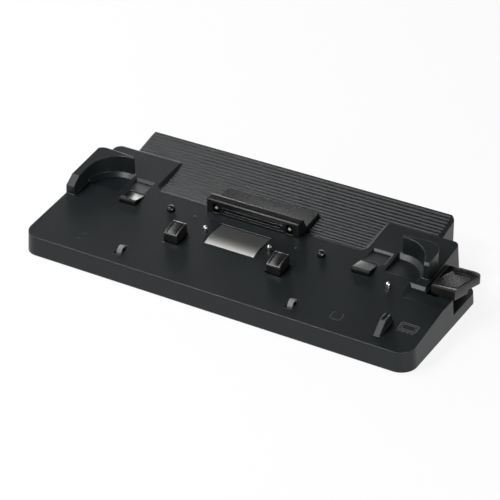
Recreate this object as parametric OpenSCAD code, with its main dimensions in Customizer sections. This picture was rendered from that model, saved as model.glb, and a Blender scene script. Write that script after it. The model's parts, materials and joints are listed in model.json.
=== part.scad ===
// Laptop docking station: inclined deck with corner guides, ribbed rear hump,
// rear-facing dock connector, two drop latches worked by a sliding side lever,
// sprung pins, sprung tongues, and a row of ports in the rear wall.
// Millimetres. X runs along the width, Y to the rear, Z up from the desk.

/* [Base] */
// half width of the laptop bay at the foot of the corner guides
bay_w = 173.2; // [172.5:0.1:174]
// depth from the front edge to the rear face of the laptop bay
bay_d = 118; // [116:0.5:120]
// width of the rim outside the bay on the left
left_rim = 11.3; // [10.5:0.1:12]
// width of the rim outside the bay on the right
right_rim = 7.2; // [6.8:0.1:8]
// width of the side housing outside the rear deck
house_w = 29.1; // [28:0.1:31]
// length of the side housing behind the front face of the lever
house_l = 50.2; // [48:0.1:52]
// depth of the deck behind the laptop bay
rear_pad = 37.4; // [36:0.1:39]
// radius of the front corners
corner_r = 15; // [12:0.5:18]
// radius of the rear corners of the deck
rear_r = 10; // [8:0.5:12]
// lean of the side walls in degrees
draft = 4.4; // [4:0.1:5]
// height of the deck plane above the desk at the front edge
deck_z0 = 19.8; // [19:0.1:21]
// slope of the deck, rising to the rear, in degrees
deck_a = 6.37; // [6:0.01:6.8]
// wall thickness of the top cover
wall = 2.4; // [2:0.1:2.8]

/* [Rear hump] */
// inset of the ends of the hump from the sides of the bay
hump_in = 12.2; // [10:0.1:15]
// depth of the hump behind the deck
hump_d = 29.6; // [27:0.1:32]
// drop from the deck to the ribbed surface at its front end
rib_drop = 1.9; // [1.6:0.1:2.2]
// slope of the ribbed surface at its front end
rib_s = 0.063; // [0.055:0.001:0.07]
// growth of that slope
rib_c = 0.0015; // [0.0014:0.00001:0.0016]
// width of the bevel at the ends of the hump
hump_c = 3.5; // [2:0.1:4]
// distance of that front end from the rear face of the bay
rib_lead = 8.8; // [7:0.1:10]
// number of ribs
rib_n = 19; // [17:1:21]
// depth of the grooves between the ribs
rib_g = 0.7; // [0.4:0.05:1]
// inset of the sides of the recess from the sides of the bay
recess_in = 63.2; // [61:0.1:66]
// width of the sloping sides of that recess
recess_s = 4; // [3:0.1:5]

/* [Corner guides] */
// inside corner radius of the guides
guide_r = 28; // [25:0.5:30]
// width and height of the sloping lip at the foot of the guides
lip = 3.8; // [3:0.1:4.5]
// height of the guides above the deck
guide_h = 14.9; // [14:0.1:16]
// slope of the guide tops
guide_s = 0.15; // [0.12:0.01:0.18]
// length of the rear wall of a guide
guide_run = 32.2; // [31:0.1:34]
// length of the side wall of the left guide
left_run = 48; // [46:0.1:50]
// length of the side wall of the right guide
right_run = 20.5; // [19:0.5:22]
// thickness of the side wall of the right guide at its foot
guide_t = 4.8; // [4:0.1:5.5]

/* [Dock connector] */
// half width of the connector block
conn_w = 47.8; // [46.5:0.1:49]
// distance of the front face of the block from the rear face of the bay
conn_back = 16.7; // [15.5:0.1:18]
// top of the front face of the block
conn_z = 44.7; // [44:0.1:45.5]
// wall thickness of the block
conn_wall = 2.4; // [2:0.1:2.6]
// distance of a guide pin from the end of the block
post_in = 9.6; // [9:0.1:10]
// radius of a guide pin
post_r = 2; // [1.8:0.05:2.2]
// free length of the straight part of a guide pin
post_l = 3.7; // [3.4:0.1:4]

/* [Latches and lever] */
// distance of a latch from the centre line
latch_u = 52.8; // [51:0.1:54]
// width of a latch
latch_w = 13.6; // [13:0.1:14]
// front face of a latch
latch_v = 47.4; // [46.5:0.1:48]
// length of a latch
latch_l = 17.4; // [17:0.1:17.8]
// height of the front face of a latch above the deck
latch_h = 7.2; // [6.5:0.1:8]
// gap around a latch in the deck
latch_gap = 1.3; // [1:0.1:1.6]
// travel of the latches
latch_t = 9; // [8:0.5:9]
// travel of the lever
lever_t = 11; // [9:0.5:11]
// radius of the cross pins
cross_r = 1.5; // [1.3:0.05:1.7]
// running clearance of pins in slots
run_c = 0.2; // [0.15:0.01:0.25]
// front face of the lever at rest
lever_v = 84.5; // [84:0.1:85.5]
// height of the lever
lever_h = 10.9; // [10:0.1:11.5]
// bevel along the front edge of the lever
lever_c = 2.4; // [1.6:0.1:3]

/* [Pins and tongues] */
// distance of the twin sprung pins from the centre line
pin_u = 33.2; // [32:0.1:34]
// depth of the sprung pins from the front edge
pin_v = 75; // [73:0.1:77]
// radius of a sprung pin
pin_r = 2.2; // [2:0.05:2.4]
// height of a sprung pin above the deck
pin_h = 5.6; // [5:0.1:6]
// distance of the side pin inside the right side of the bay
side_pin_in = 21.5; // [20:0.1:23]
// distance of the locating studs from the centre line
stud_u = 78.3; // [77:0.1:80]
// depth of the locating studs from the front edge
stud_v = 88.2; // [87:0.1:90]
// radius of a locating stud
stud_r = 3.6; // [3.4:0.1:3.8]
// distance of the sprung tongues inside the sides of the bay
tongue_in = 52.2; // [50:0.1:54]
// width of a tongue
tongue_w = 16.8; // [16:0.1:17.5]
// radius of the hinge pin of a tongue
tongue_r = 1.05; // [0.9:0.05:1.2]
// distance of the leaf springs from the centre line
leaf_u = 87.5; // [86:0.1:89]
// radius of the hinge pin of a leaf
leaf_r = 0.8; // [0.7:0.05:0.9]

/* [Guide plate and end stop] */
// half width of the guide plate
plate_w = 25.4; // [24.5:0.1:26]
// length of the guide plate
plate_l = 29.2; // [28.5:0.1:29.5]
// radius of the curved front of the guide plate
plate_r = 31; // [29:0.5:34]
// depth of the level part of the guide plate below the deck at its rear edge
plate_drop = 0.8; // [0.4:0.1:1]
// thickness of the guide plate
plate_t = 0.8; // [0.7:0.05:1]
// height of the end stop above the deck
stop_h = 8.4; // [7.5:0.1:9]
// width of the end stop
stop_w = 5.6; // [5:0.1:6]

/* [Inside and rear] */
// height of the rubber feet below the base
foot_h = 1.2; // [1:0.1:1.5]
// radius of a rubber foot
foot_r = 7; // [6:0.5:8]
// thickness of the bottom cover
floor_t = 2.2; // [2:0.1:2.5]
// top face of the bottom cover to the underside of the main board
board_gap = 5; // [4.5:0.1:5.5]
// thickness of the circuit boards
board_t = 1.6; // [1.2:0.1:2]
// radius of a cover screw shank
screw_r = 1.5; // [1.4:0.05:1.6]
// radius of the centre pin of the power jack
jack_pin_r = 1.05; // [0.9:0.05:1.2]
// radius of the bore of the power jack
jack_r = 2.9; // [2.8:0.05:3]
// depth of the power jack bore
jack_l = 9.5; // [9:0.1:10]

/* [Hidden] */
$fn = 64;
eps = 0.01;
gap = 0.3;
root_r = 0.2;
root_l = 0.3;
left_u = -bay_w - left_rim;
right_w = bay_w + right_rim;
right_u = right_w + house_w;
tip_u = right_u + 9.3;
core_d = bay_d + rear_pad;
total_d = core_d + hump_d;
side_d = lever_v + house_l;
bay_x = -(left_u + tip_u) / 2;
deck_s = tan(deck_a);
top_lim = 62;
form_top = 52;
floor_z = foot_h + floor_t;
board_z = floor_z + board_gap;
board_top = board_z + board_t;

// rear hump
hump_w = bay_w - hump_in;
recess_w = bay_w - recess_in;
rib_v = bay_d - rib_lead;
rib_p = (total_d - rib_v) / rib_n;
rib_z0 = deck(rib_v) - rib_drop;

// corner guides, and the fittings placed from the bay
guide_end = bay_w - guide_run;
wall_v = bay_d + lip - 0.3;
right_h = guide_top(bay_d - right_run) - deck(bay_d - right_run) - 2;
pit_u = guide_end - 2.7;
pit_v = bay_d - 25.5;
pit_z = deck(pit_v) - 1.2;
side_pin_u = bay_w - side_pin_in;
tongue_u = bay_w - tongue_in;
stop_u = bay_w - 3.6;
stop_v = 12.9;
chan_u = bay_w - 5.2;

// dock connector
conn_v = bay_d - conn_back;
conn_in = conn_w - conn_wall;
seat_z = deck(conn_v) - 3;
plate_end = conn_v + 38.7;
pin_z = conn_z - 8.3;
post_u = conn_w - post_in;
slot_w = post_u - 5.9;
contact_p = 1.3;
contact_n = floor(2 * (slot_w - 4.3) / contact_p);
cb_v = conn_v + 6.4;

// lever, its bar and the space round them
chan_z = deck(lever_v) - 2.4;
chan_v = lever_v - 16.5;
ledge_z = 11.5;
ledge_u = right_u - 13.5;
lever_left = right_w + 6.7;
lever_z0 = chan_z + gap;
stem_u = [lever_left + 0.8, ledge_u - wall - 0.7];
stem_v = [lever_v + 9.5, lever_v + 25.5];
lock_v = latch_v + 8.6;
lock_z = deck(latch_v) - 7.7;
bar_z = floor_z + 1.3;
bar_t = 2;
bar_v = [lock_v + 20, lock_v + 36];
beam_w = latch_u + 17.2;
flange_u = beam_w + 2;
flange_t = 2;

// hinges
hinge_v = bay_d - 22.7;
hinge_z = deck(hinge_v) - 2.6;
leaf_v = 14.2;
leaf_z = deck(leaf_v) - 4.4;
boss_z = deck(pin_v) - 3.4;

// guide plate
plate_v = [conn_v - 40.7, conn_v - 40.7 + plate_l];
plate_z = deck(plate_v[0] - 8) - wall - plate_t - gap;
plate_foot = plate_w - 7.4;
crown_v = plate_v[0] + 13.4;
window_v = [plate_v[0] - 0.6, plate_v[1] + 0.6];

// boards and ports
board_u = hump_w - 9;
board_v = [bay_d, total_d - 7];
panel_w = hump_w - 11;
panel_z = [floor_z + 2.8, board_top + 17];
port_v = total_d - 0.2;
jack_u = -hump_w + 27;
lan_u = [jack_u + 22, jack_u + 41];
usb_u = [jack_u + 62, jack_u + 79];
hdmi_u = jack_u + 100;
vga_u = hdmi_u + 34;
serial_u = vga_u + 44;
lock_u = hump_w - 39;

function deck(v) = deck_z0 + deck_s * v;
function ribs(v) = rib_z0 + rib_s * (v - rib_v) + rib_c * pow(v - rib_v, 2);
function seat(v) = seat_z + (ribs(plate_end) - 2 - seat_z) * (v - conn_v) / (plate_end - conn_v);
function lean(z) = (z - foot_h) * tan(draft);
function core_side(z) = right_w + lean(36) - lean(z);
function crown(v) = deck(plate_v[1]) - plate_drop
    - (v < crown_v ? plate_r - sqrt(pow(plate_r, 2) - pow(crown_v - v, 2)) : 0);
function guide_top(v) = deck(bay_d - 37.7) + guide_h + guide_s * (v - bay_d + 37.7);

PINS = [[-pin_u, pin_v], [pin_u, pin_v], [side_pin_u, pin_v - 1.6]];
SPRINGS = [-latch_u + 17.8, latch_u - 17.8];
GUIDES = [-plate_foot, plate_foot];
POSTS = [[left_u + 12.5, 12], [-60, 9], [60, 9], [right_u - 13.5, 14], [left_u + 12.5, 60], [chan_u - 8, 40],
         [left_u + 14.5, core_d - 15.4], [right_w - 15.4, core_d - 15.4], [-100, bay_d - 18], [88, bay_d - 14]];
STANDS = [[-board_u + 6, board_v[0] + 6], [-34, board_v[0] + 8], [board_u - 6, board_v[0] + 6],
          [-board_u + 6, board_v[1] - 6], [20, board_v[0] + 32], [board_u - 6, board_v[1] - 6]];
FEET = [[left_u + 19.5, 26], [right_u - 25.5, 26], [0, 22], [left_u + 34.5, core_d - 21.4],
        [right_w - 32.4, core_d - 21.4], [0, total_d - 15]];
RAILS = [-60, 100, 150];
CHIPS = [[-40, 14, 18, 18, 1.6], [30, 16, 12, 12, 1.3], [70, 12, 14, 10, 2.2]];

charcoal = [0.17, 0.18, 0.19];
black = [0.05, 0.05, 0.055];
steel = [0.72, 0.72, 0.7];
green = [0.05, 0.28, 0.14];
gold = [0.85, 0.68, 0.3];
blue = [0.1, 0.25, 0.6];
amber = [0.75, 0.5, 0.2];

// ---------------------------------------------------------------- helpers

module place() {
    translate([bay_x, -total_d / 2, 0]) children();
}

module both() {
    children();
    mirror([1, 0, 0]) children();
}

// box between two corners
module box(a, b) {
    translate(a) cube(b - a);
}

// polygon given as [depth, height] points, extruded from x0 to x1
module side_prism(x0, x1, pts) {
    translate([x0, 0, 0]) rotate([90, 0, 90]) linear_extrude(x1 - x0) polygon(pts);
}

// polygon given as [width, height] points, extruded from y0 to y1
module front_prism(y0, y1, pts) {
    translate([0, y1, 0]) rotate([90, 0, 0]) linear_extrude(y1 - y0) polygon(pts);
}

// upright cylinder on [u, v] between two heights
module rod(p, z0, z1, r) {
    translate([p[0], p[1], z0]) cylinder(h = z1 - z0, r = r);
}

// level cylinder along the width, centred on [u, v, z]
module axle(p, length, r) {
    translate(p) rotate([0, 90, 0]) cylinder(h = length, r = r, center = true);
}

// level cylinder that runs forward from [u, v, z]
module bolt(p, length, r) {
    translate(p) rotate([90, 0, 0]) cylinder(h = length, r = r);
}

// rounded rectangle drawn in the plane
module plan(u0, v0, u1, v1, r, n = 64) {
    translate([u0 + r, v0]) square([u1 - u0 - 2 * r, v1 - v0]);
    translate([u0, v0 + r]) square([u1 - u0, v1 - v0 - 2 * r]);
    for (u = [u0 + r, u1 - r], v = [v0 + r, v1 - r]) translate([u, v]) circle(r, $fn = n);
}

// everything below the deck plane lowered by t
module below_deck(t) {
    side_prism(left_u - 5, tip_u + 5, [[-5, -5], [total_d + 20, -5], [total_d + 20, deck(total_d + 20) - t],
                                       [-5, deck(-5) - t]]);
}

// coil spring as stacked rings joined by struts
module coil(p, z0, z1, r, w, n) {
    h = (z1 - z0 - w) / n;
    translate([p[0], p[1], z0 + w / 2]) {
        for (i = [0:n]) translate([0, 0, i * h]) rotate_extrude() translate([r, 0]) circle(w / 2, $fn = 16);
        for (i = [0:n - 1]) translate([i % 2 == 0 ? r : -r, 0, i * h]) cylinder(h = h, r = w * 0.56, $fn = 16);
    }
}

// ---------------------------------------------------------------- top cover: outside

// whole base with leaning walls and rounded upright corners, as one block
module deck_form() {
    rear = core_d + lean(36);
    corners = [[left_u + corner_r, corner_r, corner_r], [right_u - corner_r, corner_r, corner_r],
               [left_u + rear_r, rear - rear_r, rear_r], [right_u - rear_r, rear - rear_r, rear_r]];
    hull() for (z = [foot_h - 1, form_top], c = corners)
        translate([c[0], c[1], z]) cylinder(h = eps, r = c[2] - lean(z), $fn = 48);
}

// space behind the low side housing
module notch() {
    intersection() {
        front_prism(lever_v, total_d + 20,
            [[core_side(0), 0], [tip_u + 10, 0], [tip_u + 10, top_lim], [core_side(top_lim), top_lim]]);
        side_prism(right_w - 60, tip_u + 20, [[side_d - lean(0), 0], [total_d + 20, 0], [total_d + 20, top_lim],
                                              [side_d - lean(top_lim), top_lim]]);
    }
}

// what a rounded right rear corner at [u, v] leaves out
module corner_cut(u, v, r) {
    c = r - 0.4;
    difference() {
        box([u - c, v - c, 0], [u + 6, v + 6, form_top]);
        translate([u - c, v - c, 0]) cylinder(h = form_top, r1 = r - lean(0), r2 = r - lean(form_top));
    }
}

// shallow channel in front of the lever with bevelled edges, grown by k
module channel(k) {
    c = 2.8;
    intersection() {
        side_prism(chan_u - c - k, tip_u + 5,
            [[chan_v - k, chan_z - k], [lever_v + 0.5 + k, chan_z - k], [lever_v + 0.5 + c + k, chan_z + c - k],
             [lever_v + 0.5 + c + k, top_lim], [chan_v - k, top_lim]]);
        front_prism(chan_v - k, lever_v + 10,
            [[chan_u - k, chan_z - k], [tip_u + 5, chan_z - k], [tip_u + 5, top_lim], [chan_u - c - k, top_lim],
             [chan_u - c - k, chan_z + c - k]]);
    }
}

// right side cut down below the lever, with the finger recess outside it, grown by k
module lever_space(k) {
    channel(k);
    front_prism(lever_v + 0.5, total_d + 20, [[core_side(chan_z) - k, chan_z - k], [tip_u + 5, chan_z - k],
                                              [tip_u + 5, top_lim], [core_side(top_lim) - k, top_lim]]);
    box([ledge_u - k, lever_v + 0.5 - k, ledge_z - k], [tip_u + 5, total_d + 20, top_lim]);
}

// walls of one guide before its inside is cut away, with the front end bevelled by c
module guide_block(run, u_out, lift, c) {
    front = bay_d - run;
    rear = wall_v - 7;
    intersection() {
        linear_extrude(top_lim) {
            translate([-u_out + 11, rear]) circle(11);
            polygon([[-u_out, front], [-u_out, rear], [-u_out + 11, rear], [-u_out + 11, rear + 11],
                     [-u_out + 18, rear + 11], [-guide_end, wall_v + 2.2], [-guide_end, wall_v - 20],
                     [-u_out + 24, front + 18], [-u_out + 24, front]]);
        }
        side_prism(-u_out - 20, 0,
            [[front, 0], [front, deck(front) + lift], [front + c, guide_top(front + c)],
             [bay_d + 40, guide_top(bay_d + 40)], [bay_d + 40, 0]]);
    }
}

// space above the deck inside the left guide, in front of and beside its pit
module guide_space() {
    for (b = [[-bay_w, bay_d - left_run - 6, pit_v + 0.6], [-pit_u - 2, pit_v, wall_v]])
        side_prism(b[0], -guide_end + 15, [[b[1], deck(b[1])], [b[2], deck(b[2])], [b[2], top_lim], [b[1], top_lim]]);
}

// pit that takes the corner of the laptop, with a sloping lip round its rear corner
module pit() {
    c = [-bay_w + guide_r, wall_v - guide_r];
    difference() {
        intersection() {
            front_prism(pit_v, wall_v + 1, [[-bay_w + lip, pit_z], [-pit_u, pit_z], [-pit_u, top_lim],
                                            [-bay_w, top_lim], [-bay_w, pit_z + lip]]);
            side_prism(-bay_w - 1, -pit_u + 1, [[pit_v, pit_z], [wall_v - lip, pit_z], [wall_v, pit_z + lip],
                                                [wall_v, top_lim], [pit_v, top_lim]]);
        }
        difference() {
            box([-bay_w - 2, c[1] + 0.4, 0], [c[0] - 0.4, wall_v + 2, top_lim + 1]);
            translate([c[0], c[1], pit_z - 1]) cylinder(h = lip + 1, r1 = guide_r - lip - 1, r2 = guide_r);
            rod(c, pit_z + lip, top_lim + 1, guide_r);
        }
    }
}

// shallow ramp down to a bevel behind each tongue
module notch_pit() {
    end = bay_d - 2.5;
    side_prism(-pit_u + 3.8, -tongue_u + 6,
        [[bay_d - 19, deck(bay_d - 19)], [end, deck(end) - 1.9], [end + 2.2, deck(end + 2.2) + 0.3],
         [end + 2.2, top_lim], [bay_d - 19, top_lim]]);
}

// outside of the deck with the left guide standing on it
module deck_body() {
    difference() {
        intersection() {
            deck_form();
            union() {
                below_deck(0);
                guide_block(left_run, -left_u, 8.4, 9.5);
            }
        }
        notch();
        lever_space(0);
        corner_cut(right_u, side_d, corner_r);
        corner_cut(right_w + lean(36), core_d + lean(36), rear_r);
    }
}

// recess in the deck round the ribbed surface, its sides sloping along the deck
module recess() {
    depth = 3.6;
    over = 0.6;
    slope = recess_s / 2.2;
    length = core_d + 20 - rib_v;
    translate([0, rib_v, deck(rib_v)]) rotate([deck_a, 0, 0]) hull() {
        translate([0, 0, -depth - 1]) linear_extrude(1)
            plan(-recess_w + depth * slope, 0.8, recess_w - depth * slope, length, 5, 32);
        translate([0, 0, over]) linear_extrude(20)
            plan(-recess_w - over * slope, -0.13, recess_w + over * slope, length, 10, 32);
    }
}

// hump with a bevel along both ends
module hump_form() {
    rise = atan((ribs(total_d) - ribs(core_d)) / hump_d);
    difference() {
        linear_extrude(top_lim) plan(-hump_w, rib_v - 19, hump_w, total_d, 3);
        both() translate([0, core_d, ribs(core_d)]) rotate([rise, 0, 0]) front_prism(-4, hump_d + 15,
            [[hump_w - hump_c, 0], [hump_w + 1, -hump_c - 1], [hump_w + 9, -hump_c - 1], [hump_w + 9, 20],
             [hump_w - hump_c, 20]]);
    }
}

// ribbed surface rising to the rear
module rib_body() {
    tooth = [[0, -rib_g], [0.36, -rib_g], [0.5, 0], [0.94, 0]];
    side_prism(-hump_w - 10, hump_w + 10, concat(
        [[rib_v - 8, -5], [rib_v - 8, ribs(rib_v) - rib_g]],
        [for (i = [0:rib_n - 1], q = tooth) [rib_v + (i + q[0]) * rib_p, ribs(rib_v + (i + q[0]) * rib_p) + q[1]]],
        [[total_d + 5, ribs(total_d) + 1], [total_d + 5, -5]]));
}

// raised end stop on the front deck, with a groove between two rims
module stop_rib() {
    low = deck(stop_v) - 5;
    v = [stop_v, stop_v + 11.1, stop_v + 20.6, stop_v + 24.1];
    difference() {
        side_prism(stop_u, stop_u + stop_w,
            [[v[0], low], [v[0], deck(v[0]) + 0.8], [v[1], deck(v[1]) + stop_h], [v[2], deck(v[2]) + stop_h - 0.5],
             [v[3], deck(v[3])], [v[3], low]]);
        side_prism(stop_u + 1.4, stop_u + stop_w - 1.4,
            [[v[1] + 0.6, deck(v[1]) + stop_h - 1], [v[2] - 1.5, deck(v[2]) + stop_h - 1.6],
             [v[3] + 1, deck(v[3]) + 0.4], [v[3] + 1, top_lim], [v[1] + 0.6, top_lim]]);
    }
}

// ---------------------------------------------------------------- top cover: inside

// hollow below the deck
module deck_hollow() {
    intersection() {
        union() {
            difference() {
                linear_extrude(top_lim)
                    plan(left_u + wall + 1.6, wall + 1.6, right_u - wall - 1.6, side_d - wall - 1.6,
                        corner_r - wall - 1.6);
                lever_space(wall);
            }
            difference() {
                linear_extrude(top_lim)
                    plan(left_u + wall + 2.8, 40, right_w - wall, core_d - wall, rear_r - wall - 2);
                channel(wall);
            }
        }
        below_deck(wall);
    }
}

// underside of the ribbed wall
module rib_under() {
    drop = rib_g + wall;
    n = 8;
    side_prism(-hump_w - 10, hump_w + 10, concat(
        [[rib_v + 1, -5]],
        [for (i = [0:n]) let (v = rib_v + 1 + i * (total_d + 4 - rib_v) / n) [v, ribs(v) - drop]],
        [[total_d + 5, -5]]));
}

// ears that hold the hinge pins of the tongues and the leaves
module lugs() {
    both() for (s = [-1, 1]) {
        translate([tongue_u, 0, 0]) side_prism(s * (tongue_w / 2 + 2.6) - 1, s * (tongue_w / 2 + 2.6) + 1,
            [[hinge_v - 3.3, hinge_z - 3.3], [hinge_v + 3.7, hinge_z - 3.3], [hinge_v + 3.7, deck(hinge_v) - 1],
             [hinge_v - 3.3, deck(hinge_v) - 1.4]]);
        translate([leaf_u, 0, 0]) side_prism(s * 4.6 - 0.8, s * 4.6 + 0.8,
            [[leaf_v - 2.7, leaf_z - 2.5], [leaf_v + 2.8, leaf_z - 2.5], [leaf_v + 2.8, deck(leaf_v) - 1],
             [leaf_v - 2.7, deck(leaf_v) - 1.3]]);
    }
}

// solid pieces left inside the hollow cover
module cover_posts() {
    for (p = POSTS) rod(p, floor_z, top_lim, screw_r + 2.1);
    for (p = PINS) rod(p, boss_z, top_lim, pin_r + 3);
    both() rod([stud_u, stud_v], deck(stud_v) - 5.6, top_lim, stud_r + 1.6);
    for (v = [plate_v[0] - 4.6, plate_v[1] + 3.7], u = GUIDES) rod([u, v], plate_z + plate_t, top_lim, 3);
    lugs();
}

module cavity() {
    difference() {
        union() {
            difference() {
                deck_hollow();
                box([-recess_w - 3, rib_v - 5, rib_z0 - 10], [recess_w + 3, total_d + 20, top_lim]);
                both() box([left_u - 20, pit_v - 4, pit_z - 2], [-tongue_u + 6, wall_v + 2.5, top_lim]);
            }
            difference() {
                intersection() {
                    linear_extrude(top_lim) plan(-hump_w + wall, rib_v - 49, hump_w - wall, total_d - wall, 2);
                    rib_under();
                }
                box([-conn_w - 2, conn_v - 1.3, seat_z - 2.1], [conn_w + 2, conn_v + 10.7, top_lim]);
            }
        }
        cover_posts();
    }
    box([-conn_in + 0.6, cb_v - 0.4, 15], [conn_in - 0.6, conn_v + 30, seat_z + 1.9]);
}

// openings from above for what stands in the deck
module top_cuts() {
    both() {
        box([latch_u - latch_w / 2 - latch_gap, latch_v - latch_gap, lock_z - 6],
            [latch_u + latch_w / 2 + latch_gap, latch_v + latch_l + latch_gap, top_lim]);
        box([tongue_u - tongue_w / 2 - 0.7, hinge_v - 16.1, 15],
            [tongue_u + tongue_w / 2 + 0.7, hinge_v + 3.3, top_lim]);
        box([leaf_u - 3.3, leaf_v - 2, 10], [leaf_u + 3.3, leaf_v + 11.8, top_lim]);
        rod([stud_u, stud_v], deck(stud_v - stud_r) - 0.4, top_lim, stud_r + 0.5);
        rod([stud_u, stud_v], 10, top_lim, 2.05);
        axle([tongue_u, hinge_v, hinge_z], tongue_w + 9.2, tongue_r);
        axle([leaf_u, leaf_v, leaf_z], 12, leaf_r);
    }
    for (p = PINS) rod(p, 10, top_lim, pin_r + 0.5);
    box([-plate_w - 0.6, window_v[0], 10], [plate_w + 0.6, window_v[1], top_lim]);
    box([right_w + 2.4, lever_v - 2, 20], [ledge_u - 1.6, stem_v[1] + 1, chan_z + 4]);
    for (p = POSTS) rod(p, 0, floor_z + 7, screw_r);
    box([-panel_w, total_d - 4, panel_z[0]], [panel_w, total_d + 3, panel_z[1]]);
    side_prism(-conn_w - 0.2, conn_w + 0.2,
        [[conn_v - 0.2, seat(conn_v - 0.2)], [plate_end + 0.2, seat(plate_end + 0.2)], [plate_end + 0.2, top_lim],
         [conn_v - 0.2, top_lim]]);
    box([-conn_in, conn_v + conn_wall + 0.2, 20], [conn_in, conn_v + 10, top_lim]);
}

module top_cover() {
    color(charcoal) place() difference() {
        union() {
            difference() {
                deck_body();
                recess();
            }
            intersection() {
                hump_form();
                rib_body();
            }
            mirror([1, 0, 0]) guide_block(right_run, bay_w + guide_t, right_h, 2);
            stop_rib();
            both() rod([latch_u, stud_v + 0.3], deck(stud_v) - 1, deck(stud_v) + 0.9, 1.1);
        }
        both() {
            guide_space();
            pit();
            notch_pit();
        }
        cavity();
        box([left_u - 50, -50, -10], [tip_u + 50, total_d + 50, foot_h]);
        top_cuts();
    }
}

// ---------------------------------------------------------------- bottom cover and fasteners

module floor_plan(in) {
    plan(left_u + wall + 1.6 + in, wall + 1.6 + in, right_u - wall - 1.6 - in, side_d - wall - 1.6 - in,
        corner_r - wall - 2);
    plan(left_u + wall + 2.8 + in, 40, right_w - wall - in, core_d - wall - in, rear_r - wall - 2);
    plan(-hump_w + wall + in, 60, hump_w - wall - in, total_d - wall - in, 2);
}

module bottom_cover() {
    color(black) place() difference() {
        union() {
            translate([0, 0, foot_h]) linear_extrude(floor_t) floor_plan(gap);
            for (p = STANDS) rod(p, floor_z - eps, board_z, 3.5);
            for (u = SPRINGS) rod([u, lock_v], floor_z - eps, floor_z + 3, 1.8);
            for (u = GUIDES) rod([u, lock_v], floor_z - eps, lock_z + 4.5, 2);
            for (u = RAILS) box([u - 2, bar_v[0] - lever_t - 1, floor_z - eps], [u + 2, bar_v[1] + 1, bar_z - gap]);
        }
        for (p = STANDS) rod(p, floor_z + 0.6, board_z + 1, 1.25);
        for (p = POSTS) {
            rod(p, 0, 10, screw_r + 0.2);
            rod(p, 0, foot_h + 1.2, screw_r + 1.6);
        }
        for (p = FEET) rod(p, 0, foot_h + 1, foot_r + 0.1);
    }
}

module cover_screws() {
    color(steel) place() for (p = POSTS) difference() {
        union() {
            rod(p, foot_h + 0.1, foot_h + 1.2, screw_r + 1.3);
            rod(p, foot_h + 1.1, floor_z + 6.5, screw_r);
        }
        box([p[0] - 1.6, p[1] - 0.3, 0], [p[0] + 1.6, p[1] + 0.3, foot_h + 0.7]);
        box([p[0] - 0.3, p[1] - 1.6, 0], [p[0] + 0.3, p[1] + 1.6, foot_h + 0.7]);
    }
}

module rubber_feet() {
    color(black) place() for (p = FEET) rod(p, 0, foot_h + 1, foot_r);
}

// ---------------------------------------------------------------- boards and ports

module main_board() {
    edge = [board_v[0] + 1, board_v[0] + 5];
    color(green) place() difference() {
        union() {
            translate([0, 0, board_z]) linear_extrude(board_t) plan(-board_u, board_v[0], board_u, board_v[1], 2);
            for (c = CHIPS) translate([c[0], board_v[0] + c[1], board_top - eps]) cube([c[2], c[3], c[4]]);
            for (u = [-100, -90, 60, 100, 112]) rod([u, board_v[0] + 24], board_top - eps, board_top + 7, 3);
            box([-26, edge[0], board_top - eps], [26, edge[1], board_top + 3]);
        }
        for (p = STANDS) rod(p, 0, 30, 1.5);
    }
}

module board_screws() {
    color(steel) place() for (p = STANDS) {
        rod(p, board_top, board_top + 1.6, 2.6);
        rod(p, board_z - 4, board_top + eps, 1.25);
    }
}

// plate that closes the port opening, with a flange behind the rear wall
module port_panel() {
    face = total_d - 1.6;
    back = total_d - wall;
    color(black) place() difference() {
        union() {
            box([-panel_w + gap, back - 1, panel_z[0] + 0.2], [panel_w - gap, face, panel_z[1] - 0.2]);
            box([-panel_w - 3, back - 1.4, floor_z], [panel_w + 3, back, panel_z[1] + 2]);
        }
        for (u = lan_u) port_hole(u, 8.2, 13.9);
        for (u = usb_u) port_hole(u, 7.4, 16);
        port_hole(jack_u, 5.2, 11.4);
        port_hole(hdmi_u, 8, 6.6);
        for (u = [vga_u, serial_u]) port_hole(u, 16, 13);
        box([lock_u - 5, total_d - 5, board_top + 4.3], [lock_u + 5, total_d + 1, board_top + 10.3]);
    }
}

// hole in the panel for a port of half width w and height h above the board
module port_hole(u, w, h) {
    box([u - w, total_d - 12, board_top - 2], [u + w, total_d + 1, board_top + h]);
}

module dc_jack() {
    axis = [jack_u, port_v, board_top + 6];
    color(black) place() difference() {
        box([jack_u - 4.8, port_v - 14, board_top], [jack_u + 4.8, port_v, board_top + 11]);
        bolt(axis + [0, 1, 0], jack_l + 1, jack_r);
        bolt(axis, jack_l + 3.5, jack_pin_r + root_r);
    }
}

// centre contact with a thicker root held in the jack
module dc_pin() {
    axis = [jack_u, port_v, board_top + 6];
    color(steel) place() {
        bolt(axis - [0, 1.5, 0], jack_l - 1.5, jack_pin_r);
        bolt(axis - [0, jack_l - root_l, 0], 3.5 + root_l, jack_pin_r + root_r);
    }
}

module lan_jacks() {
    color(steel) place() for (u = lan_u) difference() {
        box([u - 8, port_v - 17, board_top], [u + 8, port_v, board_top + 13.6]);
        box([u - 5.9, port_v - 12, board_top + 1.8], [u + 5.9, port_v + 1, board_top + 8.6]);
        box([u - 3.2, port_v - 12, board_top + 8.5], [u + 3.2, port_v + 1, board_top + 11.4]);
    }
}

module usb_shells() {
    color(steel) place() for (u = usb_u) difference() {
        box([u - 7.1, port_v - 16, board_top], [u + 7.1, port_v, board_top + 15.6]);
        for (z = [1.2, 8.9]) box([u - 6.3, port_v - 12, board_top + z], [u + 6.3, port_v + 1, board_top + z + 5.2]);
    }
}

module usb_inserts() {
    color(blue) place() for (u = usb_u, z = [1.2, 8.9])
        box([u - 5.6, port_v - 12, board_top + z + 2.9], [u + 5.6, port_v - 1, board_top + z + 4.7]);
}

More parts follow.
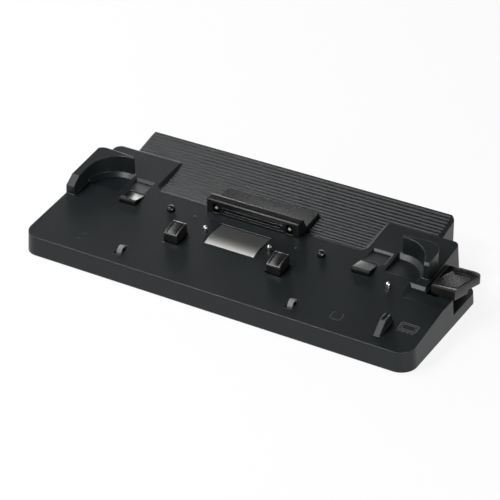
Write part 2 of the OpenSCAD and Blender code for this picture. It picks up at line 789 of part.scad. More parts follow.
module hdmi_port() {
    u = hdmi_u;
    color(steel) place() difference() {
        box([u - 7.6, port_v - 12, board_top], [u + 7.6, port_v, board_top + 6.2]);
        box([u - 6.9, port_v - 8, board_top + 2], [u + 6.9, port_v + 1, board_top + 5.5]);
        box([u - 5.6, port_v - 8, board_top + 0.8], [u + 5.6, port_v + 1, board_top + 2.1]);
    }
}

// D-shaped connector with its contact holes at the given [across, up] points
module d_port(u, holes) {
    mid = [u, port_v, board_top + 6.2];
    difference() {
        union() {
            box([u - 15.6, port_v - 12, board_top], [u + 15.6, port_v - 1.4, board_top + 12.5]);
            translate(mid) rotate([90, 0, 0]) linear_extrude(2)
                polygon([[-9.2, 4.6], [9.2, 4.6], [7.6, -4.6], [-7.6, -4.6]]);
        }
        for (i = holes) bolt(mid + [i[0], 1, i[1]], 7, 0.6);
        for (s = [-12.5, 12.5]) bolt(mid + [s, 1, 0], 9, 1.5);
    }
}

module vga_port() {
    color(steel) place() d_port(vga_u, [for (j = [-1, 0, 1], i = [-2:2]) [i * 2.4 + j * 0.4, j * 2.4]]);
}

module serial_port() {
    color(steel) place()
        d_port(serial_u, concat([for (i = [-2:2]) [i * 2.7, 1.5]], [for (i = [-1.5:1.5]) [i * 2.7, -1.5]]));
}

module security_plate() {
    back = total_d - wall - 1.4;
    z = board_top + 7.3;
    color(steel) place() difference() {
        union() {
            box([lock_u - 4.7, back, z - 2.7], [lock_u + 4.7, total_d - 1.6, z + 2.7]);
            box([lock_u - 10, back - 1.6, z - 7.3], [lock_u + 10, back, z + 7.3]);
        }
        box([lock_u - 3.5, total_d - 8, z - 1.5], [lock_u + 3.5, total_d, z + 1.5]);
    }
}

// ---------------------------------------------------------------- dock connector

module connector_cover() {
    ridge = conn_v + 7.7;
    valley = conn_v + 15.2;
    window_z = [pin_z - 4.4, pin_z + 4.6];
    color(black) place() difference() {
        side_prism(-conn_w, conn_w,
            [[conn_v, seat_z], [conn_v, conn_z - 0.8], [conn_v + 0.8, conn_z], [ridge, conn_z + 0.9],
             [ridge + 1.4, conn_z + 0.5], [valley, ribs(valley) + 4.4], [plate_end - 1.2, ribs(plate_end) + 3.7],
             [plate_end - 0.3, ribs(plate_end) + 3.2], [plate_end, ribs(plate_end) + 2.5],
             [plate_end, seat(plate_end)]]);
        side_prism(-conn_in, conn_in,
            [[conn_v + conn_wall, 20], [conn_v + conn_wall, conn_z - 2.6], [ridge, conn_z - 1.6],
             [valley - 2, ribs(valley) + 2.7], [valley - 2, 20]]);
        for (u = [-post_u, post_u]) box([u - 3.6, conn_v - 1, window_z[0]], [u + 3.6, conn_v + 3, window_z[1]]);
        box([-slot_w, conn_v - 1, pin_z - 3.4], [slot_w, conn_v + 3, pin_z + 2.6]);
    }
}

module dock_connector() {
    color(black) place() difference() {
        union() {
            box([-slot_w + 0.2, conn_v + 0.2, pin_z - 3.2], [slot_w - 0.2, cb_v, pin_z + 2.4]);
            box([-slot_w - 0.5, conn_v + 3, pin_z - 5], [slot_w + 0.5, cb_v, pin_z + 5]);
            box([-conn_in + 0.6, cb_v - 1, pin_z - 5], [conn_in - 0.6, cb_v, pin_z + 5]);
        }
        box([-slot_w + 3.2, conn_v - 1, pin_z - 0.9], [slot_w - 3.2, conn_v + 3.6, pin_z + 0.9]);
        for (u = [-post_u, post_u]) bolt([u, cb_v + 1, pin_z], 6, post_r + root_r);
    }
}

module dock_contacts() {
    color(gold) place() for (i = [0:contact_n - 1]) {
        u = (i - (contact_n - 1) / 2) * contact_p;
        box([u - 0.3, conn_v + 1.4, pin_z + 0.4], [u + 0.3, conn_v + 3.6, pin_z + 0.9]);
    }
}

// round-nosed guide pins with a thicker root held in the connector
module guide_pins() {
    face = cb_v - 1;
    color(gold) place() for (u = [-post_u, post_u]) {
        bolt([u, cb_v, pin_z], 1 + root_l, post_r + root_r);
        bolt([u, face, pin_z], post_l, post_r);
        translate([u, face - post_l, pin_z]) sphere(r = post_r);
    }
}

module connector_board() {
    w = conn_in - 0.2;
    color(green) place() box([-w, cb_v, seat_z - 3], [w, cb_v + board_t, conn_z - 2.7]);
}

// flat cable from the connector board to the main board
module board_ribbon() {
    v = cb_v + board_t;
    end = board_v[0] + 2.4;
    low = seat_z - 5.7;
    top = seat_z - 1.1;
    color(amber) place() side_prism(-22, 22,
        [[v, top], [v + 0.4, top], [v + 0.4, low + 2], [v + 3.1, low], [end, low], [end, board_top + 3],
         [end - 0.4, board_top + 3], [end - 0.4, low - 0.4], [v + 2.9, low - 0.4], [v, low + 1.6]]);
}

// ---------------------------------------------------------------- deck fittings

// crowned plate with two legs, and feet turned out under the deck
module guide_plate() {
    n = 28;
    top = [for (i = [0:n]) let (v = plate_v[0] + i * plate_l / n) [v, crown(v)]];
    color(steel) place() {
        side_prism(-plate_w, plate_w, concat(top, [for (i = [n:-1:0]) top[i] - [0, plate_t]]));
        box([-plate_w, plate_v[0], plate_z], [plate_w, plate_v[0] + plate_t, crown(plate_v[0]) - 0.1]);
        box([-plate_w, plate_v[1] - plate_t, plate_z], [plate_w, plate_v[1], crown(plate_v[1]) - 0.1]);
        for (u = GUIDES) {
            box([u - 4, plate_v[0] - 8, plate_z], [u + 4, plate_v[0] + plate_t, plate_z + plate_t]);
            box([u - 4, plate_v[1] - plate_t, plate_z], [u + 4, plate_v[1] + 7.2, plate_z + plate_t]);
        }
    }
}

module locating_studs() {
    base = deck(stud_v - stud_r) - 0.4;
    under = deck(stud_v) - 5.6;
    color(black) place() both() {
        rod([stud_u, stud_v], base, base + 2.4, stud_r);
        translate([stud_u, stud_v, base + 2.4]) intersection() {
            sphere(r = stud_r);
            cylinder(h = 2.6, r = stud_r);
        }
        rod([stud_u, stud_v], under - 4, base + 0.1, 2);
        rod([stud_u, stud_v], under - 2.5, under, 3.2);
    }
}

// cups under the deck that hold the sprung pins
module pin_holders() {
    color(black) place() for (p = PINS) difference() {
        rod(p, boss_z - 15.3, boss_z, pin_r + 2.6);
        rod(p, boss_z - 13.3, boss_z + 1, pin_r + 1.4);
        rod(p, boss_z - 16, boss_z + 1, pin_r - 0.4);
    }
}

module sprung_pin(p) {
    top = deck(pin_v) + pin_h;
    color(steel) place() {
        rod(p, boss_z - 1.9, top - pin_r, pin_r);
        translate([p[0], p[1], top - pin_r]) sphere(r = pin_r);
        rod(p, boss_z - 1.9, boss_z - gap, pin_r + 1);
        rod(p, boss_z - 11.3, boss_z - 1.9, pin_r - 0.7);
    }
}

module pin_spring(p) {
    color(steel) place() coil(p, boss_z - 13.3, boss_z - 1.9, pin_r + 0.2, 0.6, 5);
}

module sprung_pin_left() sprung_pin(PINS[0]);
module sprung_pin_right() sprung_pin(PINS[1]);
module sprung_pin_side() sprung_pin(PINS[2]);
module pin_spring_left() pin_spring(PINS[0]);
module pin_spring_right() pin_spring(PINS[1]);
module pin_spring_side() pin_spring(PINS[2]);

// ---------------------------------------------------------------- latches

// hooked latch with a groove inside each edge of its top, on side s
module latch(s) {
    u = [s * latch_u - latch_w / 2, s * latch_u + latch_w / 2];
    v = [latch_v, latch_v + latch_l];
    z = deck(latch_v) + latch_h;
    foot = lock_z - 2.5;
    color(black) place() difference() {
        side_prism(u[0], u[1],
            [[v[0], foot], [v[0], z], [v[0] + 0.35, z + 0.9], [v[0] + 1.2, z + 1.6], [v[0] + 5, z + 3],
             [v[1] - 1.8, z + 5.5], [v[1] - 0.6, z + 5.3], [v[1], z + 4.2], [v[1], foot]]);
        for (g = [u[0] + 2, u[1] - 2.6]) side_prism(g, g + 0.6,
            [[v[0] + 1, z + 0.6], [v[0] + 5, z + 2.1], [v[1] - 1.8, z + 4.6], [v[1] + 1, z + 4.3],
             [v[1] + 1, top_lim], [v[0] + 1, top_lim]]);
        box([u[0] - 1, lock_v - 5, foot - 2], [u[1] + 1, lock_v + 5, lock_z + 2.5]);
    }
}

module latch_left() latch(-1);
module latch_right() latch(1);

module latch_beam() {
    color(steel) place() difference() {
        box([-beam_w, lock_v - 5, lock_z - 2.5], [beam_w, lock_v + 5, lock_z + 2.5]);
        for (u = SPRINGS) rod([u, lock_v], lock_z - 4, lock_z + 1.5, 3.5);
        for (u = GUIDES) rod([u, lock_v], 0, lock_z + 10, 2 + gap);
        for (s = [-1, 1]) axle([s * (beam_w - 4), lock_v, lock_z], 12, cross_r);
    }
}

module cross_pins() {
    color(steel) place() for (s = [-1, 1]) axle([s * (beam_w - 2), lock_v, lock_z], 16, cross_r);
}

module latch_spring(u) {
    color(steel) place() coil([u, lock_v], floor_z, lock_z + 1.5, 2.7, 0.6, 6);
}

module latch_spring_left() latch_spring(SPRINGS[0]);
module latch_spring_right() latch_spring(SPRINGS[1]);

// ---------------------------------------------------------------- lever

// upright flange of the lever bar with the inclined slot
module flange(u) {
    half = flange_t / 2;
    difference() {
        side_prism(u - half, u + half,
            [[lock_v - 4, lock_z - 6.5], [lock_v - 4, lock_z + 3.5], [lock_v + 4, lock_z + 3.5],
             [bar_v[1], bar_z + bar_t], [bar_v[1], bar_z], [lock_v + 9, bar_z]]);
        hull() for (k = [0, 1]) translate([u, lock_v + k * lever_t, lock_z - k * latch_t]) rotate([0, 90, 0])
            cylinder(h = 8, r = cross_r + run_c, center = true, $fn = 32);
    }
}

module lever_bar() {
    color(steel) place() difference() {
        union() {
            box([-flange_u - 1, bar_v[0], bar_z], [stem_u[1], bar_v[1], bar_z + bar_t]);
            box([lever_left - 8, bar_v[0], bar_z], [stem_u[1], stem_v[1] + 2, bar_z + bar_t]);
            for (s = [-1, 1]) flange(s * flange_u);
        }
        for (p = LEVER_SCREWS) {
            rod(p, 0, 20, 1);
            rod(p, 0, bar_z + 1.1, 2);
        }
    }
}

LEVER_SCREWS = [for (v = [stem_v[0] + 3, stem_v[1] - 3]) [(stem_u[0] + stem_u[1]) / 2, v]];

module lever_screws() {
    color(steel) place() for (p = LEVER_SCREWS) {
        rod(p, bar_z + 0.1, bar_z + 1.1, 1.9);
        rod(p, bar_z + 1, bar_z + bar_t + 6, 1);
    }
}

module lever() {
    z = lever_z0 + lever_h;
    w = right_u - 0.2 - lever_left;
    t = tip_u - lever_left;
    top = [[0, 0], [w, 0], [w + 2.6, 8], [w + 5.4, 17], [t - 1.2, 25], [t - 0.2, 28], [t, 29.6], [t - 0.8, 31.8],
           [t - 3, 33.6], [t - 6.4, 34.2], [9, 33.7], [5.6, 28.5], [3.4, 21.5], [1, 11.5]];
    dish = [[-3, -3], [w - 0.5, -3], [w + 0.8, 8], [w + 3, 17], [w + 3.6, 23.5], [w + 2, 27.5], [w - 2.5, 29.4],
            [-3, 29.4]];
    color(black) place() difference() {
        union() {
            translate([lever_left, lever_v, lever_z0]) linear_extrude(lever_h) polygon(top);
            box([stem_u[0], stem_v[0], bar_z + bar_t], [stem_u[1], stem_v[1], lever_z0 + 1]);
        }
        for (p = LEVER_SCREWS) rod(p, 0, bar_z + bar_t + 6.5, 1);
        side_prism(lever_left - 5, tip_u + 5,
            [[lever_v - 1, z - 4.4], [lever_v, z - lever_c - 0.5], [lever_v + 0.8, z - lever_c + 0.9],
             [lever_v + lever_c, z], [lever_v + lever_c, z + 1], [lever_v - 1, z + 1]]);
        translate([lever_left + w, lever_v, z - 0.2]) rotate([-3, -3.5, 0]) translate([-w, 0, 0]) linear_extrude(9)
            polygon(dish);
        box([right_u + 3, lever_v + 15.5, 20], [tip_u + 5, lever_v + 40, z - 7.4]);
    }
}

module bar_guides() {
    color(black) place() for (u = [-8, 116]) difference() {
        box([u - 4, bar_v[0] - lever_t - 2.6, floor_z], [u + 4, bar_v[1] + 5, floor_z + 6]);
        box([u - 5, bar_v[0] - lever_t - gap, floor_z - 1], [u + 5, bar_v[1] + gap, bar_z + bar_t + gap]);
    }
}

// ---------------------------------------------------------------- tongues and leaves

module tongue(s) {
    h = tongue_w / 2;
    color(black) place() translate([s * tongue_u, hinge_v, hinge_z]) difference() {
        union() {
            side_prism(-h, h, [[-15.1, -0.4], [-15.4, 4], [-14.7, 5.4], [-13.7, 5.5], [1.9, 2.6], [2.1, 1.8],
                               [0, -1.2], [-3, -0.6]]);
            axle([0, 0, 0], tongue_w, tongue_r + 0.95);
        }
        axle([0, 0, 0], tongue_w + 10, tongue_r + 0.05);
        box([-4, -3.2, -8], [4, 3, 2]);
    }
}

module tongue_left() tongue(-1);
module tongue_right() tongue(1);

module tongue_pins() {
    color(steel) place() both() axle([tongue_u, hinge_v, hinge_z], tongue_w + 7.2, tongue_r);
}

// torsion springs wound on the hinge pins
module tongue_springs() {
    color(steel) place() both() for (i = [-3:3]) translate([tongue_u + i, hinge_v, hinge_z]) rotate([0, 90, 0])
        rotate_extrude() translate([tongue_r + 0.3, 0]) circle(0.3, $fn = 12);
}

module leaf(s) {
    color(black) place() translate([s * leaf_u, leaf_v, leaf_z]) difference() {
        union() {
            side_prism(-2.5, 2.5, [[0.4, 1], [1.4, 4.2], [3.8, 7.1], [6.4, 8.4], [8.4, 8], [9.6, 6.4], [10, 4.4],
                                   [9.3, 4.2], [8.8, 6], [7.8, 7.2], [6.5, 7.4], [4.4, 6.3], [2.2, 3.8], [1.4, 0]]);
            axle([0, 0, 0], 5, leaf_r + 0.8);
        }
        axle([0, 0, 0], 8, leaf_r + 0.05);
    }
}

module leaf_left() leaf(-1);
module leaf_right() leaf(1);

module leaf_pins() {
    color(steel) place() both() axle([leaf_u, leaf_v, leaf_z], 10.8, leaf_r);
}

// ---------------------------------------------------------------- assembly

top_cover();
bottom_cover();
port_panel();
main_board();
board_screws();
dc_jack();
dc_pin();
lan_jacks();
usb_shells();
usb_inserts();
hdmi_port();
vga_port();
serial_port();
security_plate();
connector_cover();
dock_connector();
dock_contacts();
guide_pins();
connector_board();
board_ribbon();
guide_plate();
locating_studs();
pin_holders();
sprung_pin_left();
sprung_pin_right();
sprung_pin_side();
pin_spring_left();
pin_spring_right();
pin_spring_side();
latch_left();
latch_right();
latch_beam();
cross_pins();
latch_spring_left();
latch_spring_right();
lever();
lever_bar();
lever_screws();
bar_guides();
tongue_left();
tongue_right();
tongue_pins();
tongue_springs();
leaf_left();
leaf_right();
leaf_pins();
rubber_feet();
cover_screws();
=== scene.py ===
"""Looks of the laptop docking station: finishes, rounded edges, deck marks, light and camera."""

import json
import math

import bmesh
import bpy
from mathutils import Matrix, Vector


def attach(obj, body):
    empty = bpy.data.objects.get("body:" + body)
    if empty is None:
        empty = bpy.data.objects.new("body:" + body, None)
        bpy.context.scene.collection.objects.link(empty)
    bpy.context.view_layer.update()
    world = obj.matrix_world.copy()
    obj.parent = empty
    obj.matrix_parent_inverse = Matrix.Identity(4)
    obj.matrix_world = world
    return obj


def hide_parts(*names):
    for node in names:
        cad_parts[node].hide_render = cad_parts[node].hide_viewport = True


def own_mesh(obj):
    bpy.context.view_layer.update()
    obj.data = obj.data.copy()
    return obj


MM = 0.001

# the part, in mm
BAY_X = -17.15      # centre plane of the laptop bay in the row frame
HALF_D = 92.5       # half of the depth
DECK_Z0 = 19.8      # height of the deck plane at its front edge
DECK_S = 0.11163    # rise of the deck plane per mm of depth

# edges
EDGE_FROM, EDGE_FULL = 0.93, 0.80    # agreement of the two normals where the shine starts and is full
EDGE_SHINE = 1.0                     # specular level on a rubbed edge
EDGE_SAMPLES = 6                     # samples of a shaded edge
BEVEL_SEGMENTS = 3                   # faces across a rounded edge
BEVEL_ANGLE = 11                     # least angle between faces that is rounded, degrees
WELD = 2e-6                          # distance at which vertices of the CAD mesh are one, m
FLAT_ANGLE = 1                       # angle up to which CAD triangles make one face, degrees
ROUNDED = {                          # width of the rounded edges of each copied node, m
    "latch_left": 0.0007,
    "latch_right": 0.0007,
    "tongue_left": 0.0005,
    "tongue_right": 0.0005,
    "lever": 0.0007,
    "connector_cover": 0.0005,
    "locating_studs": 0.0004,
}

# marks on the deck: widths off the bay centre and depths from the front edge, in mm
PAINT_TOP, PAINT_FOOT = 0.03, 0.05       # reach of the paint above and below the deck
SCREEN = (183.5, 29.5, 199.5, 38.5)      # outer frame of the laptop sign
SCREEN_IN = (185.6, 31.2, 197.6, 36.8)   # inner frame of the laptop sign
KEYS = (183.5, 187.7, 191.9, 196.1)      # left ends of the dashes under the screen
KEY_L, KEY_V = 2.8, 27.6                 # length and depth of the dashes
RELEASE = (125, 17, 135, 26)             # frame of the release sign, open at one corner
LEFT_BARS = (((-134, 17.5), (-130, 17.5), 0.5), ((-133, 25), (-129, 25.6), 0.4))   # ends and width

# studio
FLOOR_HALF = 3.0      # half of the floor's side, m
FLOOR_PAINT = 0.9     # colour and roughness of the floor
FLOOR_GLOW = 0.88     # share of plain white in what the camera sees of the floor
BACKDROP_LOW = 18     # top of the white backdrop, degrees above the horizon
BACKDROP_HIGH = 34    # where the dark studio begins, degrees
STUDIO_DARK = 0.04    # brightness of the studio above the backdrop
WORLD_FILL = 0.3      # share of the backdrop's brightness that lights the object
LAMPS = (             # name, place, target and size in m, power in W
    ("overhead", (-0.85, -0.05, 1.20), (-0.05, 0, 0.02), (0.7, 0.9), 12),
    ("front", (-0.62, -0.95, 1.30), (0, 0, 0.02), (0.6, 0.4), 18),
    ("front_right", (0.95, -0.70, 0.16), (0.15, -0.07, 0.015), (0.5, 0.28), 7),
    ("rear_left", (-1.05, 1.45, 0.45), (-0.1, 0, 0.03), (0.6, 0.5), 6),
)
CAMERA_PLACE = (0.7608, -1.2735, 0.9508)           # m
CAMERA_TURN, CAMERA_DOWN = 31.337, 32.269          # azimuth and look down, degrees
CAMERA_ROLL = -1.038                               # degrees
CAMERA_LENS, CAMERA_SENSOR = 140.914152, 36        # mm
CAMERA_CLIP = (0.1, 20)                            # m

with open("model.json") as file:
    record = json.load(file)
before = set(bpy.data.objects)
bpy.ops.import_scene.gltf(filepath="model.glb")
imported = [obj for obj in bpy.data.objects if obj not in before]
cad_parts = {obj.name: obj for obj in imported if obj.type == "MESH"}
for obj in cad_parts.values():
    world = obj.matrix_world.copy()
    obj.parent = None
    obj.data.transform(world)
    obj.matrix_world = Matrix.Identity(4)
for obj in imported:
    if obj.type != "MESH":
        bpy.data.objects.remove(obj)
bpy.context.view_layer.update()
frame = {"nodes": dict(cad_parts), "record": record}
nodes = frame["nodes"]
behaviour = frame["record"]["behaviour"]
body_of_node = {n: b for b, ns in behaviour["bodies"].items() for n in ns}
slot_of = {s["node"]: s["material_slot"] for s in frame["record"]["subparts"]}


def at(u, v, z):
    """Point from width off the bay centre, depth from the front edge and height, in mm."""
    return Vector((u + BAY_X, v - HALF_D, z)) * MM


def deck(v):
    """Height of the deck plane at a depth, in mm."""
    return DECK_Z0 + DECK_S * v


def place(name, data):
    """New object in the scene."""
    obj = bpy.data.objects.new(name, data)
    bpy.context.scene.collection.objects.link(obj)
    return obj


def stand_in(obj, name):
    """Shows an object instead of a CAD node, on the same body, and hides the node; its material comes with
    its copied mesh.
    """
    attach(obj, body_of_node[name])
    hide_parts(name)


def set_range(node, low, high, a, b):
    """Sets a map range node to take low..high to a..b."""
    for key, number in zip(("From Min", "From Max", "To Min", "To Max"), (low, high, a, b)):
        node.inputs[key].default_value = number


# ---------------------------------------------------------------- materials


class Shader:
    """A small builder of node trees around one Principled BSDF."""

    def __init__(self, name, colour, roughness, metallic=0.0, specular=0.5, coat=0.0):
        self.mat = bpy.data.materials.new(name)
        self.mat.use_nodes = True
        self.tree = self.mat.node_tree
        self.bsdf = self.tree.nodes["Principled BSDF"]
        self.bsdf.inputs["Base Color"].default_value = (*colour, 1)
        self.bsdf.inputs["Roughness"].default_value = roughness
        self.bsdf.inputs["Metallic"].default_value = metallic
        self.bsdf.inputs["Specular IOR Level"].default_value = specular
        self.bsdf.inputs["Coat Weight"].default_value = coat
        self.coords = self.node("ShaderNodeTexCoord").outputs["Object"]

    def node(self, kind, **values):
        made = self.tree.nodes.new(kind)
        for key, value in values.items():
            setattr(made, key, value)
        return made

    def link(self, a, b):
        self.tree.links.new(a, b)

    def noise(self, scale, detail=3.0, stretch=(1, 1, 1)):
        mapping = self.node("ShaderNodeMapping")
        mapping.inputs["Scale"].default_value = stretch
        self.link(self.coords, mapping.inputs["Vector"])
        made = self.node("ShaderNodeTexNoise")
        made.inputs["Scale"].default_value = scale
        made.inputs["Detail"].default_value = detail
        self.link(mapping.outputs["Vector"], made.inputs["Vector"])
        return made.outputs["Fac"]

    def ramp(self, value, low, high, a, b):
        """Maps value from low..high to a..b."""
        made = self.node("ShaderNodeMapRange")
        set_range(made, low, high, a, b)
        self.link(value, made.inputs["Value"])
        return made.outputs["Result"]

    def tint(self, fac, dark, light):
        made = self.node("ShaderNodeMix", data_type="RGBA")
        made.inputs["A"].default_value = (*dark, 1)
        made.inputs["B"].default_value = (*light, 1)
        self.link(fac, made.inputs["Factor"])
        self.link(made.outputs["Result"], self.bsdf.inputs["Base Color"])

    def bump(self, height, strength, distance, edge=0.0):
        """Bump over an optional rounded-edge normal."""
        made = self.node("ShaderNodeBump")
        made.inputs["Strength"].default_value = strength
        made.inputs["Distance"].default_value = distance
        self.link(height, made.inputs["Height"])
        if edge:
            soft = self.node("ShaderNodeBevel", samples=EDGE_SAMPLES)
            soft.inputs["Radius"].default_value = edge
            self.polish(soft.outputs["Normal"])
            self.link(soft.outputs["Normal"], made.inputs["Normal"])
        self.link(made.outputs["Normal"], self.bsdf.inputs["Normal"])

    def polish(self, normal):
        """Shinier edges: more specular where the rounded normal leaves the face's own."""
        flat = self.node("ShaderNodeNewGeometry").outputs["Normal"]
        same = self.node("ShaderNodeVectorMath", operation="DOT_PRODUCT")
        self.link(normal, same.inputs[0])
        self.link(flat, same.inputs[1])
        level = self.bsdf.inputs["Specular IOR Level"].default_value
        self.link(self.ramp(same.outputs["Value"], EDGE_FROM, EDGE_FULL, level, EDGE_SHINE),
                  self.bsdf.inputs["Specular IOR Level"])


def grey(level, cool=0.0):
    """Linear colour from an sRGB level of 0 to 255, tinted a little to blue-green."""
    c = level / 255
    lin = c / 12.92 if c <= 0.04045 else ((c + 0.055) / 1.055) ** 2.4
    return (lin * (1 - cool), lin, lin * (1 + cool * 0.6))


def moulded(name, level, roughness, grain, depth, cool=0.04, specular=0.5, edge=0.0004, vary=0.05):
    """Moulded plastic with spark-eroded grain, slight cloudiness and rubbed high spots."""
    s = Shader(name, grey(level, cool), roughness, specular=specular)
    cloud = s.noise(28, 4)
    s.tint(s.ramp(cloud, 0.3, 0.7, 0, 1), grey(level * 0.93, cool), grey(level * 1.07, cool))
    fine = s.noise(grain, 2)
    s.link(s.ramp(s.noise(grain * 0.35, 3), 0.3, 0.7, roughness - vary, roughness + vary),
           s.bsdf.inputs["Roughness"])
    s.bump(fine, 0.25, depth, edge)
    return s.mat


def metal(name, colour, roughness, stretch=(1, 1, 1), grain=900, edge=0.0003):
    """Metal with drawn or brushed lines along the unstretched axis."""
    s = Shader(name, colour, roughness, metallic=1.0)
    lines = s.noise(grain, 2, stretch)
    s.tint(s.ramp(lines, 0.25, 0.75, 0, 1), [c * 0.86 for c in colour], [min(1, c * 1.1) for c in colour])
    s.link(s.ramp(lines, 0.2, 0.8, roughness - 0.07, roughness + 0.1), s.bsdf.inputs["Roughness"])
    s.bump(lines, 0.15, 0.00003, edge)
    return s.mat


def rubber(name):
    s = Shader(name, grey(38), 0.85, specular=0.3)
    s.tint(s.ramp(s.noise(60, 5), 0.3, 0.7, 0, 1), grey(32), grey(46))
    s.bump(s.noise(1800, 3), 0.5, 0.00005)
    return s.mat


def board_mask(name):
    """Solder mask with traces under it."""
    s = Shader(name, (0.01, 0.08, 0.03), 0.35, coat=0.4)
    cells = s.node("ShaderNodeTexVoronoi", feature="DISTANCE_TO_EDGE")
    cells.inputs["Scale"].default_value = 260
    s.link(s.coords, cells.inputs["Vector"])
    s.tint(s.ramp(cells.outputs["Distance"], 0.02, 0.06, 1, 0), (0.008, 0.06, 0.022), (0.02, 0.16, 0.06))
    s.bump(cells.outputs["Distance"], 0.2, 0.00003)
    return s.mat


def paint(name):
    """Dull grey paint of the deck marks."""
    s = Shader(name, grey(92, 0.05), 0.6)
    s.tint(s.ramp(s.noise(900, 3), 0.35, 0.65, 0, 1), grey(70, 0.05), grey(100, 0.05))
    s.bump(s.noise(2600, 2), 0.3, 0.00002)
    return s.mat


FINISHES = {    # the maker of each slot's material and what it takes after the name
    "charcoal_plastic": (moulded, 25, 0.36, 2600, 0.00001, 0.22, 0.27, 0.0010),
    "black_plastic": (moulded, 17, 0.30, 2600, 0.00001, 0.10, 0.34, 0.0007),
    "latch_plastic": (moulded, 18, 0.27, 3200, 0.000001, -0.05, 0.46, 0.0, 0.01),
    "stud_plastic": (moulded, 8, 0.12, 900, 0.0000001, 0.0, 0.7, 0.0),
    "leaf_plastic": (moulded, 92, 0.42, 2400, 0.00002, 0.03),
    "plate_steel": (metal, (0.22, 0.222, 0.215), 0.42, (1, 30, 30)),
    "bright_steel": (metal, (0.62, 0.61, 0.58), 0.22),
    "zinc_steel": (metal, (0.50, 0.51, 0.50), 0.38, (1, 8, 8), 300),
    "spring_steel": (metal, (0.45, 0.45, 0.45), 0.3),
    "gold_plate": (metal, (0.30, 0.27, 0.22), 0.45),
    "port_metal": (metal, (0.62, 0.62, 0.60), 0.28, (1, 1, 12), 500),
    "insert_blue": (moulded, 60, 0.4, 1800, 0.00002, 0.6),
    "board_green": (board_mask,),
    "ribbon_amber": (metal, (0.45, 0.22, 0.05), 0.4, (40, 1, 1), 120),
    "foot_rubber": (rubber,),
}
MATS = {name: maker(name, *values) for name, (maker, *values) in FINISHES.items()}
for name, obj in nodes.items():
    obj.data.materials.clear()
    obj.data.materials.append(MATS[slot_of[name]])


# ---------------------------------------------------------------- rounded pieces and springs


def rounded(name, width):
    """Copy of a CAD node with its edges rounded, shown in the node's place."""
    source = nodes[name]
    mesh = source.data.copy()
    work = bmesh.new()
    work.from_mesh(mesh)
    bmesh.ops.remove_doubles(work, verts=work.verts, dist=WELD)
    bmesh.ops.dissolve_limit(work, angle_limit=math.radians(FLAT_ANGLE), verts=work.verts,
                             edges=work.edges)
    work.to_mesh(mesh)
    work.free()
    obj = place(name + "_rounded", mesh)
    obj.matrix_world = source.matrix_world
    bevel = obj.modifiers.new("edges", "BEVEL")
    bevel.width = width
    bevel.segments = BEVEL_SEGMENTS
    bevel.limit_method = "ANGLE"
    bevel.angle_limit = math.radians(BEVEL_ANGLE)
    bevel.harden_normals = True
    for face in mesh.polygons:
        face.use_smooth = True
    stand_in(obj, name)


def compressing(name):
    """Copy of a coil spring, shown in the node's place with a mesh of its own."""
    obj = place(name + "_coil", nodes[name].data.copy())
    stand_in(obj, name)
    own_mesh(obj)


for name, width in ROUNDED.items():
    rounded(name, width)
for joint in behaviour["joints"]:
    for spring in joint.get("deforming_nodes", []):
        compressing(spring["node"])


# ---------------------------------------------------------------- marks on the deck


def bar(work, a, b, width):
    """Flat painted bar on the deck from a to b, both (u, v) in mm."""
    run = Vector(b) - Vector(a)
    side = Vector((-run.y, run.x)).normalized() * width / 2
    ring = [Vector(a) + side, Vector(b) + side, Vector(b) - side, Vector(a) - side]
    low = [work.verts.new(at(p.x, p.y, deck(p.y) - PAINT_FOOT)) for p in ring]
    top = [work.verts.new(at(p.x, p.y, deck(p.y) + PAINT_TOP)) for p in ring]
    work.faces.new(top)
    work.faces.new(low[::-1])
    for i in range(4):
        j = (i + 1) % 4
        work.faces.new((low[i], low[j], top[j], top[i]))


def loop(work, u0, v0, u1, v1, r, width, gaps=()):
    """Rounded rectangle of bars, with the sides in gaps left out."""
    corners = ((u1 - r, v1 - r, 0), (u0 + r, v1 - r, 90), (u0 + r, v0 + r, 180), (u1 - r, v0 + r, 270))
    points = [(cu + r * math.cos(math.radians(a + k)), cv + r * math.sin(math.radians(a + k)))
              for cu, cv, a in corners for k in (0, 30, 60, 90)]
    for i, p in enumerate(points):
        if i // 4 not in gaps or i % 4 != 3:
            bar(work, p, points[(i + 1) % len(points)], width)


def laptop_sign(work):
    loop(work, *SCREEN, 1.2, 0.7)
    loop(work, *SCREEN_IN, 0.6, 0.4)
    for u in KEYS:
        bar(work, (u, KEY_V), (u + KEY_L, KEY_V), 0.6)


def release_sign(work):
    loop(work, *RELEASE, 2.2, 0.45, gaps=(0,))


def left_sign(work):
    for start, end, width in LEFT_BARS:
        bar(work, start, end, width)


def mark(draw, finish):
    """Piece drawn by one of the sign functions, named after it."""
    work = bmesh.new()
    draw(work)
    mesh = bpy.data.meshes.new(draw.__name__)
    bmesh.ops.recalc_face_normals(work, faces=work.faces)
    work.to_mesh(mesh)
    work.free()
    obj = place(draw.__name__, mesh)
    mesh.materials.append(finish)
    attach(obj, body_of_node["top_cover"])


mark_paint = paint("mark_grey")
for sign in (laptop_sign, release_sign, left_sign):
    mark(sign, mark_paint)


# ---------------------------------------------------------------- light, floor and camera


def seen_by(tree):
    """1 for camera, glossy and transmission rays, 0 for the rays that light the object."""
    rays = tree.nodes.new("ShaderNodeLightPath")
    total = rays.outputs["Is Camera Ray"]
    for kind in ("Is Glossy Ray", "Is Transmission Ray"):
        both = tree.nodes.new("ShaderNodeMath")
        both.operation = "MAXIMUM"
        tree.links.new(total, both.inputs[0])
        tree.links.new(rays.outputs[kind], both.inputs[1])
        total = both.outputs[0]
    return total


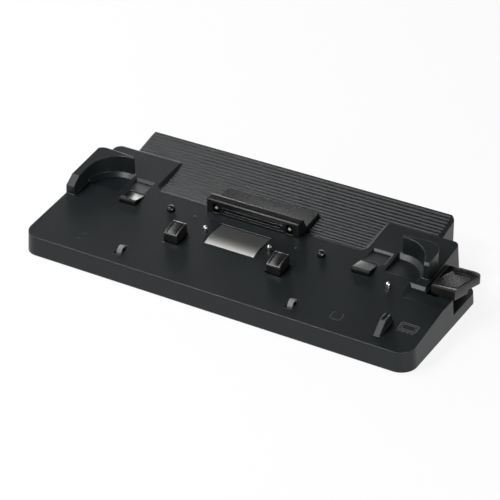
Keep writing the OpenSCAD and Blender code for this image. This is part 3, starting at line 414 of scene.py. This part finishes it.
def make_floor():
    """White sweep that shows as white and still catches the object's shadow."""
    mesh = bpy.data.meshes.new("floor")
    r = FLOOR_HALF
    mesh.from_pydata([(-r, -r, 0), (r, -r, 0), (r, r, 0), (-r, r, 0)], [], [(0, 1, 2, 3)])
    floor = place("floor", mesh)
    mat = bpy.data.materials.new("floor_white")
    mat.use_nodes = True
    tree = mat.node_tree
    bsdf = tree.nodes["Principled BSDF"]
    bsdf.inputs["Base Color"].default_value = (FLOOR_PAINT, FLOOR_PAINT, FLOOR_PAINT, 1)
    bsdf.inputs["Roughness"].default_value = FLOOR_PAINT
    glow = tree.nodes.new("ShaderNodeEmission")
    mix = tree.nodes.new("ShaderNodeMixShader")
    scale = tree.nodes.new("ShaderNodeMath")
    scale.operation = "MULTIPLY"
    scale.inputs[1].default_value = FLOOR_GLOW
    tree.links.new(seen_by(tree), scale.inputs[0])
    tree.links.new(scale.outputs[0], mix.inputs["Fac"])
    tree.links.new(bsdf.outputs["BSDF"], mix.inputs[1])
    tree.links.new(glow.outputs["Emission"], mix.inputs[2])
    tree.links.new(mix.outputs["Shader"], tree.nodes["Material Output"].inputs["Surface"])
    mesh.materials.append(mat)


def make_world():
    """White backdrop up to BACKDROP_LOW degrees above the horizon, dark studio from BACKDROP_HIGH."""
    world = bpy.data.worlds.new("studio")
    bpy.context.scene.world = world
    world.use_nodes = True
    tree = world.node_tree
    way = tree.nodes.new("ShaderNodeTexCoord")
    parts = tree.nodes.new("ShaderNodeSeparateXYZ")
    fade = tree.nodes.new("ShaderNodeMapRange")
    fade.interpolation_type = "SMOOTHSTEP"
    low, high = (math.sin(math.radians(x)) for x in (BACKDROP_LOW, BACKDROP_HIGH))
    set_range(fade, low, high, 1.0, STUDIO_DARK)
    share = tree.nodes.new("ShaderNodeMapRange")
    set_range(share, 0, 1, WORLD_FILL, 1.0)
    strength = tree.nodes.new("ShaderNodeMath")
    strength.operation = "MULTIPLY"
    tree.links.new(way.outputs["Generated"], parts.inputs[0])
    tree.links.new(parts.outputs["Z"], fade.inputs["Value"])
    tree.links.new(seen_by(tree), share.inputs["Value"])
    tree.links.new(fade.outputs["Result"], strength.inputs[0])
    tree.links.new(share.outputs["Result"], strength.inputs[1])
    plain = tree.nodes["Background"]
    plain.inputs["Color"].default_value = (1, 1, 1, 1)
    tree.links.new(strength.outputs[0], plain.inputs["Strength"])


def lamp(name, spot, target, size, power):
    data = bpy.data.lights.new(name, "AREA")
    data.shape = "RECTANGLE"
    data.size, data.size_y = size
    data.energy = power
    obj = place(name, data)
    obj.location = spot
    obj.rotation_euler = (Vector(target) - Vector(spot)).to_track_quat("-Z", "Y").to_euler()


def make_camera():
    turn, down, roll = (math.radians(x) for x in (CAMERA_TURN, CAMERA_DOWN, CAMERA_ROLL))
    level = Vector((math.cos(turn), math.sin(turn), 0))
    ahead = Vector((-math.sin(turn) * math.cos(down), math.cos(turn) * math.cos(down), -math.sin(down)))
    above = level.cross(ahead)
    right = math.cos(roll) * level + math.sin(roll) * above
    up = math.cos(roll) * above - math.sin(roll) * level
    data = bpy.data.cameras.new("camera")
    data.sensor_width = CAMERA_SENSOR
    data.lens = CAMERA_LENS
    data.clip_start, data.clip_end = CAMERA_CLIP
    cam = bpy.data.objects.new("camera", data)
    cam.matrix_world = Matrix.Translation(CAMERA_PLACE) @ Matrix((right, up, -ahead)).transposed().to_4x4()
    bpy.context.scene.collection.objects.link(cam)
    bpy.context.scene.camera = cam


make_floor()
make_world()
make_camera()
for values in LAMPS:
    lamp(*values)
bpy.context.scene.view_settings.view_transform = "Standard"

bpy.context.view_layer.update()
